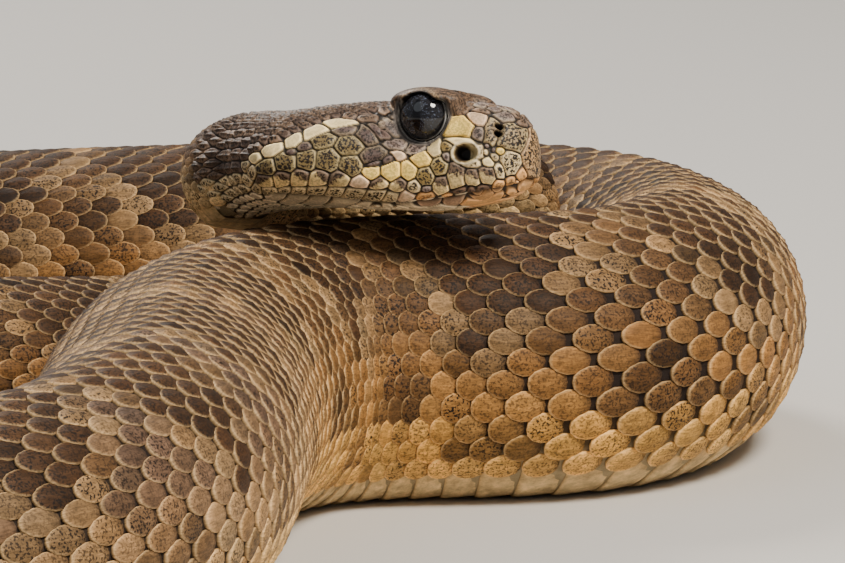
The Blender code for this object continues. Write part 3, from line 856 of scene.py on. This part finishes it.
def build_head():
    front, rear = head_rows()
    local, raised = head_surface(*grid(np.r_[front, rear[1:]], full_turn(HEAD_COLUMNS)))
    caps = []
    for k in CAP_RINGS:
        ring = local[0] * np.array([1, k, k]) + np.array([0, 0, (1 - k) * -0.15])
        ring[:, 0] = HEAD_SECTIONS[0][0] - 0.1 * (1 - k ** 2)
        caps.append(ring)
    local = np.concatenate([np.array(caps), local])
    rings = len(local)
    shape = (rings, HEAD_COLUMNS)
    flat = local.reshape(-1, 3)
    x, y, z = flat.T

    # Whose scale each point is on, and how far inside its edge.
    seeds = head_seeds()
    half = np.array([min(o[4], o[5]) for o in seeds])
    kinds, numbers, keels = (np.array([o[i] for o in seeds]) for i in (7, 8, 9))
    gap = (z - mouth_height(x)) * np.interp(x, (0, 4, 12, 33), (1.0, 0.9, 0.75, 0.8))
    ends = 1 - ease(x, 32.5, 34.5)
    above = np.clip(gap / 0.12, -1, 1) * ends
    who, best, second, third, place_u, place_v = nearest_seeds(flat, seeds, above)
    edge = (second - best) / np.minimum(second + best, 2.0) * half[who]
    corner = (third - best) / np.minimum(third + best, 2.0) * half[who]
    edge = 1 / np.sqrt(1 / np.maximum(edge, 1e-3) ** 2 + 0.45 / np.maximum(corner, 1e-3) ** 2)

    # The brow ridges are one shield each.
    raised = np.concatenate([np.zeros((len(caps), HEAD_COLUMNS)), raised])
    beside = np.maximum(np.roll(raised, 1, 1), np.roll(raised, -1, 1)) * 0.6
    raised = np.maximum(raised, beside).ravel()
    over = raised - 0.24
    ridge = over > 0
    for side in (1, -1):
        brows = (i for i, o in enumerate(seeds) if o[7] == "B" and o[4] > 5 and o[0][1] * side > 0)
        who[ridge & (y * side > 0)] = next(brows)
    place_u = np.where(ridge, (x - BROW_CENTRE[0]) / BROW_SIZE[0], place_u)
    place_v = np.where(ridge, 1.0, place_v)
    beside = np.where(raised > 0.05, np.minimum(edge, -over * 1.2), edge)
    edge = np.where(ridge, np.maximum(over * 1.2, 0.02), beside)
    kind_of = kinds[who]

    def of_kind(*wanted):
        return np.isin(kind_of, wanted)

    # The relief: pillows with dark seams, tilted and keeled where the scales overlap.
    rounded = np.clip(edge / 0.50, 0, 1)
    relief = 0.36 * np.sqrt(np.clip(1 - (1 - rounded) ** 2, 0, 1)) - 0.26
    relief += keels[who] * (0.13 * place_u - 0.02) * (rounded > 0) * np.minimum(1, edge / 0.12)
    relief += keels[who] * 0.22 * bell(place_v, 0, 0.16) * (1 - ease(np.abs(place_u), 0.4, 0.95))
    low_jaw = 0.07 * of_kind("W") * (z < 0)
    seam = 1 - ease(edge, 0.06 + low_jaw, 0.14 + low_jaw)
    relief -= 0.12 * seam

    # The colours.
    rng = np.random.default_rng(3)
    shades = np.exp(rng.normal(0, 0.09, numbers.max() + 1))
    base = np.array([linear(KINDS[k][0]) for k in kinds]) * shades[numbers][:, None]
    tone = base[who]
    pepper = np.array([KINDS[k][1] for k in kinds])[who]
    wave = np.sin(5.1 * x + 2.0 * z) * np.sin(6.7 * z - 3.1 * x)
    wave = wave + 0.7 * np.sin(13.0 * x + 9.0 * z) * np.sin(11.0 * z - 5.0 * x + 1.0)
    upper = of_kind("m") * ease(place_v + 0.16 * wave, 0.0, 0.28)
    pepper = pepper * (1 - upper) + 0.95 * upper
    ring = of_kind("t", "o", "n", "g", "d") * np.where(of_kind("g", "d"), 0.45, 1.0)
    ring = ring * ease(best, 0.5, 0.9)
    mottle = of_kind("k", "n", "B") * ease(wave, -0.1, 0.7)
    streak = np.sin(9.0 * (z - 0.5 * np.abs(y)) + 1.6 * np.sin(0.8 * x))
    streak = streak * np.sin(2.1 * x + 3.3 * z) + 0.6 * np.sin(17.0 * z + 1.9 * x)
    yolk = of_kind("y") * (1 - ease(best, 0.2, 0.8))
    tone = coats(
        tone,
        (linear((104, 84, 66)), upper),
        (linear((168, 150, 106)), 0.55 * ring),
        (linear((120, 92, 68)), 0.55 * mottle),
        (linear((44, 33, 27)), 0.85 * ridge * ease(streak, 0.0, 0.7)),
        (linear((236, 206, 112)), 0.5 * yolk),
    )
    pale = ease(edge, 0.08, 0.14) * (1 - ease(edge, 0.18, 0.32))
    tone = tone * (0.94 + 0.56 * pale[:, None]) + 0.02 * pale[:, None]
    free = of_kind("b", "x") * ease(place_u, 0.1, 0.7) * (1 - seam)
    tone = mix(tone, linear((176, 146, 118)), 0.50 * free)
    tone = mix(tone, np.array([0.007, 0.005, 0.004]), 0.96 * seam)
    pepper = pepper * (1 - seam) * (1 - 0.8 * pale)

    depth = np.zeros(len(flat))
    socketed = flat.copy()
    for side in (1, -1):
        # The eye's socket with its two lids.
        q = flat - eye_centre(side)
        rho = np.hypot(q[:, 0], q[:, 2])
        facing = q[:, 1] * side
        near = (facing > -2.0) & (rho < 5)
        ball = np.sqrt(np.maximum(EYE_RADIUS ** 2 - rho ** 2, 0)) - 0.25
        shelf = ease(q[:, 2] / np.maximum(rho, 0.01), 0.45, 0.8)
        opening = EYE_RADIUS * (0.975 - 0.12 * shelf)
        cone = 0.90 + 1.15 * np.maximum(rho - 0.97 * EYE_RADIUS, 0) + 3.0 * shelf
        allowed = ball + (cone - ball) * ease(rho, opening - 0.1, opening + 0.1)
        over = facing - allowed
        kept = allowed + np.minimum(over, 0) - 0.08 * np.exp(-np.abs(over) / 0.12)
        sunk = eye_centre(side)[1] + side * np.minimum(facing, kept)
        socketed[:, 1] = np.where(near & (facing > -1), sunk, socketed[:, 1])
        rim = rho - opening - 0.02 * EYE_RADIUS
        brink = (facing > -3) * (q[:, 2] > 0) * bell(rim, 0.34, 0.16) * ease(shelf, 0.1, 0.5)
        tone = mix(tone, linear((176, 148, 112)), 0.6 * brink * (rho < 5))
        near = near & ((shelf < 0.5) | (rim < 0.1))
        lid = near * (bell(rim, 0.20, 0.10) + 0.8 * bell(rim, 0.52, 0.12))
        relief = np.where(near & (rim < 0.72), relief * 0.2 + 0.13 * lid, relief)
        ringed = near * (1 - ease(rim, 0.60, 0.74))
        tone = coats(
            tone,
            (linear((62, 56, 54)), ringed),
            (linear((176, 170, 160)), 0.85 * near * bell(rim, 0.16, 0.06)),
            (linear((140, 130, 120)), 0.6 * near * bell(rim, 0.50, 0.07)),
            # Painted shade, near black, in the crevice between the lids and the eyeball.
            (np.array([0.006, 0.005, 0.005]), near * (1 - ease(rim, 0.0, 0.06))),
        )
        pepper = pepper * (1 - ringed)

        # The heat pit.
        pu, pv, facing = around(flat, PIT_CENTRE, side)
        hole = np.sqrt((pu / 1.62) ** 2 + (pv / 1.30) ** 2)
        here = (facing > -3) & (hole < 3)
        depth += here * 2.2 * (1 - ease(hole, 0.5, 1.0))
        lip = relief * 0.3 + 0.16 * bell(hole, 1.1, 0.14)
        relief = np.where(here & (hole < 1.25), lip, relief)
        wall = mix(*linear([(96, 78, 52), (206, 188, 140)]), ease(-pu, -0.3, 0.7))
        inside = np.hypot((pu - 0.50) / 0.95, pv / 1.05)
        tone = coats(
            tone,
            (wall, here * (1 - ease(hole, 0.9, 1.02))),
            # Painted shade, near black, inside the heat pit.
            (HOLE_SHADE, here * (1 - ease(inside, 0.8, 1.05))),
            (linear((222, 206, 170)), 0.8 * here * bell(hole, 1.12, 0.10)),
        )
        pepper = np.where(here & (hole < 1.25), pepper * 0.3, pepper)

        # The nostril.
        pu, pv, facing = around(flat, NOSTRIL_CENTRE, side)
        hole = np.hypot(pu / 0.66, (pv - 0.52) / 0.46)
        hole = np.minimum(hole, np.hypot((pu + 0.08) / 0.62, (pv + 0.52) / 0.50))
        dip = np.hypot(pu / 1.3, pv / 1.6)
        here = (facing > -2) & (dip < 3)
        depth += here * (1.0 * (1 - ease(hole, 0.5, 1.05)) + 0.28 * (1 - ease(dip, 0.2, 1.0)))
        # Painted shade, near black, inside the nostril.
        tone = mix(tone, HOLE_SHADE, here * (1 - ease(hole, 0.8, 1.15)))
        # Painted shade in the hollow around the nostril.
        dip_shade = here * (1 - ease(dip, 0.5, 1.1)) * ease(hole, 0.9, 1.2)
        tone = mix(tone, linear((74, 62, 58)), 0.55 * dip_shade)
        pepper = np.where(here & (hole < 1.1), 0, pepper)

    # The line of the mouth.
    below = (z < 0) * ends
    groove = bell(gap, 0, 0.17) * below
    depth += 0.50 * groove
    relief += 0.10 * below * bell(gap, 0.5, 0.3)
    # Painted shade, near black, along the groove of the mouth.
    tone = mix(tone, np.array([0.008, 0.005, 0.004]), 0.96 * bell(gap, 0, 0.13) * below)
    pepper = pepper * (1 - groove)

    # Into the room.
    points, along = from_spine(socketed)
    net = points.reshape(*shape, 3)
    normal = net_normals(net)
    middle = net.mean(1, keepdims=True)
    if ((net[40:60] - middle[40:60]) * normal[40:60]).sum() < 0:
        normal = -normal
    normal[:4] = -along.reshape(*shape, 3)[:4]
    net = net + normal * (relief - depth).reshape(shape)[..., None]
    shade = net_normals(net)
    shade = shade * np.sign((shade * normal).sum(-1, keepdims=True) + 1e-9)
    shade[:3] = normal[:3]
    tone, pepper = tone.reshape(*shape, 3), np.clip(pepper, 0, 1).reshape(shape)
    columns = np.arange(HEAD_COLUMNS) / HEAD_COLUMNS * 0.98 + 0.01
    uv = np.stack(grid(np.linspace(0.01, 0.99, rings), columns), -1)
    split = len(caps) + len(front) - 1
    for name, first, end in (("head_front", 0, split + 1), ("head_back", split, rings)):
        part = slice(first, end)
        faces = grid_faces(end - first, HEAD_COLUMNS, closed=True)
        thing = make_mesh(
            name, net[part], faces, tone[part], pepper[part], uv[part], head_material,
        )
        thing.data.normals_split_custom_set_from_vertices(shade[part].reshape(-1, 3).tolist())


# ---- The eyes: dark, with an upright slit and a thin pale ring where they meet the lids.
EYE_RINGS = 96
EYE_SIDES = 128
IRIS_STREAKS = 90


def eye_material():
    made, add_node, finish = new_surface("eye")
    finish({
        "Base Color": add_node("VertexColor", layer_name="tone")["Color"],
        "Roughness": 0.05, "IOR": 1.45, "Coat Weight": 0.15, "Coat Roughness": 0.02,
    })
    return made


def build_eyes():
    surface = eye_material()
    p, t = grid(np.linspace(0, math.pi, EYE_RINGS), full_turn(EYE_SIDES))
    for side, word in ((1, "left"), (-1, "right")):
        q = np.stack([np.sin(p) * np.cos(t), side * np.cos(p), np.sin(p) * np.sin(t)], -1)
        q = q * EYE_RADIUS
        rho = np.hypot(q[..., 0], q[..., 2]) / EYE_RADIUS
        points = from_spine(eye_centre(side) + q)[0]
        rng = np.random.default_rng(9)
        streak = np.interp(t, np.linspace(0, 2 * math.pi, IRIS_STREAKS), rng.random(IRIS_STREAKS))
        iris = mix(*linear([(22, 22, 26), (58, 56, 58)]), 0.35 * streak * ease(rho, 0.2, 0.6))
        fleck = rng.random(rho.shape) > 0.90
        fleck = fleck * ease(rho, 0.12, 0.3) * (1 - ease(rho, 0.72, 0.86)) * streak
        iris = mix(iris, linear((120, 132, 158)), 0.55 * fleck)
        slit = (q[..., 0] / (EYE_RADIUS * 0.16)) ** 2 + (q[..., 2] / (EYE_RADIUS * 0.62)) ** 2
        tone = coats(
            iris,
            (np.array([0.002, 0.002, 0.003]), 1 - ease(slit, 0.8, 1.2)),
            (linear((8, 8, 9)), ease(rho, 0.86, 0.90)),
            (linear((40, 37, 36)), ease(rho, 0.955, 0.965)),
            (linear((176, 174, 172)), 0.85 * bell(rho, 0.94, 0.012)),
        )
        uv = np.stack([0.5 + q[..., 0] / 7, 0.5 + q[..., 2] / 7], -1)
        faces = grid_faces(EYE_RINGS, EYE_SIDES, closed=True)
        flat = points.reshape(-1, 3)
        corner = flat[faces[EYE_SIDES * 20]]
        outward = np.cross(corner[1] - corner[0], corner[2] - corner[1])
        if outward @ (corner[0] - flat.mean(0)) < 0:
            faces = faces[:, ::-1]
        piece = make_mesh(f"eyeball_{word}", points, faces, tone, 1.0, uv, surface)
        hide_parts(f"eye_{word}")


# ---- The rattle: loose horny rings, each gripped by the next.
RATTLE_ROWS = 150
RATTLE_SIDES = 64
HORN, CRACK = linear([(150, 122, 84), (52, 40, 28)])


def build_rattle():
    at, along, left, back = (v[0] for v in places(np.array([SPINE_END])))
    centre = at + along * 0.3
    a = full_turn(RATTLE_SIDES)
    waist = 1 - 0.13 * bell(np.cos(a), 0, 0.28)
    rng = np.random.default_rng(2)
    shade = 1 + rng.normal(0, 0.06, RATTLE_SEGMENTS + 1)
    before = 0.0
    rings = []
    tones = []
    for t in np.linspace(0, RATTLE_SEGMENTS - 0.4, RATTLE_ROWS):
        lift = RATTLE_LIFT * min(1.0, t / 3)
        axis = along * math.cos(lift) + back * math.sin(lift)
        up = back * math.cos(lift) - along * math.sin(lift)
        centre = centre + axis * (t - before) * RATTLE_PITCH
        before = t
        step = t - math.floor(t)
        lobe = 0.84 + 0.16 * math.sin(math.pi * (step / 0.62)) if step < 0.62 else 0.84
        crack = bell(step, 0.03, 0.05) + bell(step, 1.03, 0.05)
        full = lobe * (1 - 0.028 * t) - (0.10 * crack if 0.3 < t < RATTLE_SEGMENTS - 0.6 else 0)
        end = (t - (RATTLE_SEGMENTS - 0.8)) / 0.4
        if end > 0:
            full *= math.sqrt(max(0.0, 1 - min(1.0, end) ** 2 * 0.8))
        across = RATTLE_WIDTH * full * np.sin(a) * waist
        high = RATTLE_HEIGHT * full * np.cos(a)
        rings.append(centre + left * across[:, None] + up * high[:, None])
        tones.append(mix(HORN * shade[int(t)], CRACK, min(1.0, 0.9 * crack)))
    points = np.array(rings)
    tone = np.repeat(np.array(tones)[:, None], RATTLE_SIDES, 1)
    middles = points.mean(1, keepdims=True)
    inward = np.array([0.9, 0.6, 0.3, 0.02])[:, None, None]
    first = middles[:1] + (points[:1] - middles[:1]) * inward[::-1]
    last = middles[-1:] + (points[-1:] - middles[-1:]) * inward
    points = np.concatenate([first, points, last])
    tone = np.concatenate([np.repeat(tone[:1], 4, 0), tone, np.repeat(tone[-1:], 4, 0)])
    faces = grid_faces(len(points), RATTLE_SIDES, closed=True)
    rows, columns = (np.linspace(0.02, 0.98, n) for n in (len(points), RATTLE_SIDES))
    uv = np.stack(grid(rows, columns), -1)
    piece = make_mesh("rattle_horn", points, faces, tone, 0.1, uv, horn_material)
    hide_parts("rattle")


skin_piece = body_skin()
build_scales()
build_scutes()
build_head()
build_eyes()
build_rattle()
flesh = [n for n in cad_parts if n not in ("eye_left", "eye_right", "rattle")]
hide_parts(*flesh)

# ---- Floor, light and camera. Lengths are in metres from here.
FLOOR_REACH = 6.0
TARGET = (0.0518, 0.0058, 0.030)
CAMERA_AIM = (0.05181, 0.00583, 0.030)
CAMERA_DISTANCE = 0.690
CAMERA_ELEVATION = math.radians(9.5)

floor_mesh = bpy.data.meshes.new("floor")
corners = [(FLOOR_REACH * x, FLOOR_REACH * y, 0) for x, y in ((-1, -1), (1, -1), (1, 1), (-1, 1))]
floor_mesh.from_pydata(corners, [], [(0, 1, 2, 3)])
floor = new_object("floor", floor_mesh)
floor_material, add_node, finish = new_surface("floor")
finish({"Base Color": (0.56, 0.54, 0.51, 1), "Roughness": 0.8})
floor_mesh.materials.append(floor_material)

world = bpy.data.worlds.new("studio")
bpy.context.scene.world = world
world.use_nodes = True
sky = {"Color": (0.93, 0.95, 1.0, 1), "Strength": 0.24}
give(world.node_tree, world.node_tree.nodes["Background"], sky)


def aimed(name, data, where):
    """A lamp or camera at this place, turned to the target."""
    made = new_object(name, data)
    made.location = where
    made.rotation_euler = (Vector(TARGET) - Vector(where)).to_track_quat("-Z", "Y").to_euler()
    return made


def lamp(name, where, size, power, colour):
    light = bpy.data.lights.new(name, "AREA")
    light.shape = "DISK"
    light.size = size
    light.energy = power
    light.color = colour
    aimed(name, light, where)


lamp("key", (0.40, -0.40, 0.74), 0.28, 13.5, (1.0, 0.93, 0.82))
lamp("fill", (-0.7, -0.6, 1.0), 1.1, 3.0, (0.86, 0.93, 1.0))
lamp("rim", (-0.35, 0.75, 0.75), 0.4, 9.0, (1.0, 0.95, 0.88))

camera = bpy.data.cameras.new("camera")
camera.sensor_width = 36.0
camera.lens = 226.0
camera.clip_start = 0.02
camera.clip_end = 50.0
x, y, z = CAMERA_AIM
y -= CAMERA_DISTANCE * math.cos(CAMERA_ELEVATION)
z += CAMERA_DISTANCE * math.sin(CAMERA_ELEVATION)
bpy.context.scene.camera = aimed("camera", camera, (x, y, z))

bpy.context.view_layer.update()
